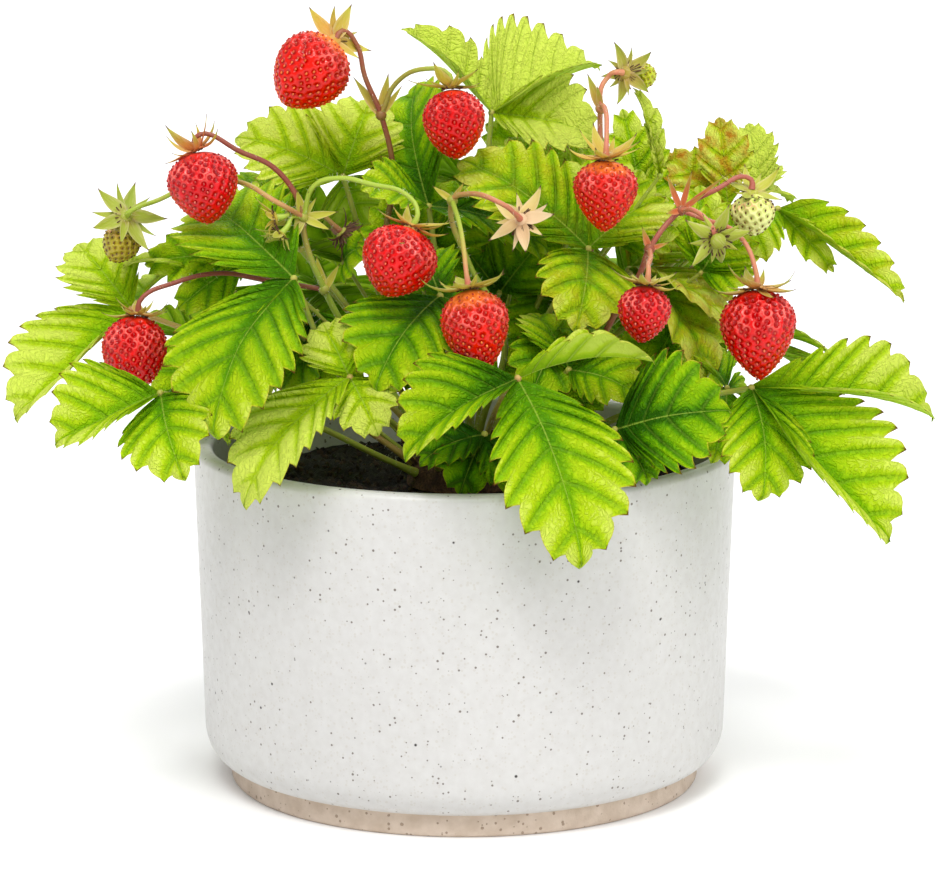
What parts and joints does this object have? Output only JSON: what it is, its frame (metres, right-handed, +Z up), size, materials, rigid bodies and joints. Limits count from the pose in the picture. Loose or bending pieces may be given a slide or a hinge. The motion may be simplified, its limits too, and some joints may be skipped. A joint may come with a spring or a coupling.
{
  "type": "potted strawberry plant",
  "caption": "Alpine strawberry plant with three-part leaves, branched fruit stalks and ripe berries, growing from a crown in a thick round glazed pot of soil.",
  "frame": {"origin": "centre of the pot's foot, on the surface that it stands on", "axes": "+Z up; -Y towards the viewer of the main side, where most of the fruit hangs; +X to that viewer's right"},
  "size_m": [0.2348, 0.1814, 0.2032],
  "materials": {
    "pot_glaze": "satin off-white glaze with fine dark iron specks over a bare tan clay foot",
    "soil": "dark crumbly potting soil",
    "crown_bark": "brown scaly crown",
    "leaf": "green pleated leaf with toothed yellow-green edges",
    "fruit_stalk": "green to red-brown hairy stalk",
    "berry_ripe": "glossy red flesh with seeds in pits",
    "berry_unripe": "pale green-white flesh with dark seeds",
    "calyx": "pale green pointed sepals with brown tips"
  },
  "bodies": {
    "root": {"berry_01": "berry_ripe", "berry_02": "berry_ripe", "berry_03": "berry_ripe", "berry_04": "berry_ripe", "berry_05": "berry_ripe", "berry_06": "berry_ripe", "berry_07": "berry_ripe", "berry_08": "berry_ripe", "berry_09": "berry_ripe", "berry_10": "berry_unripe", "berry_11": "berry_unripe", "berry_12": "berry_unripe", "calyx_01": "calyx", "calyx_02": "calyx", "calyx_03": "calyx", "calyx_04": "calyx", "calyx_05": "calyx", "calyx_06": "calyx", "calyx_07": "calyx", "calyx_08": "calyx", "calyx_09": "calyx", "calyx_10": "calyx", "calyx_11": "calyx", "calyx_12": "calyx", "calyx_13": "calyx", "calyx_14": "calyx", "crown": "crown_bark", "fruit_stalk_centre": "fruit_stalk", "fruit_stalk_far_right": "fruit_stalk", "fruit_stalk_left": "fruit_stalk", "fruit_stalk_right": "fruit_stalk", "fruit_stalk_top": "fruit_stalk", "leaf_back": "leaf", "leaf_back_far_left": "leaf", "leaf_back_far_right": "leaf", "leaf_back_high": "leaf", "leaf_back_left": "leaf", "leaf_back_right": "leaf", "leaf_centre_left": "leaf", "leaf_centre_right": "leaf", "leaf_far_left": "leaf", "leaf_far_right": "leaf", "leaf_far_upper_right": "leaf", "leaf_front_fall": "leaf", "leaf_front_left": "leaf", "leaf_front_right": "leaf", "leaf_inner_front": "leaf", "leaf_inner_left": "leaf", "leaf_inner_right": "leaf", "leaf_left_big": "leaf", "leaf_left_low": "leaf", "leaf_middle_back": "leaf", "leaf_right_low": "leaf", "leaf_right_middle": "leaf", "leaf_top": "leaf", "leaf_upper_left": "leaf", "leaf_upper_middle": "leaf", "leaf_upper_right": "leaf", "pot": "pot_glaze", "soil": "soil"}
  },
  "joints": []
}
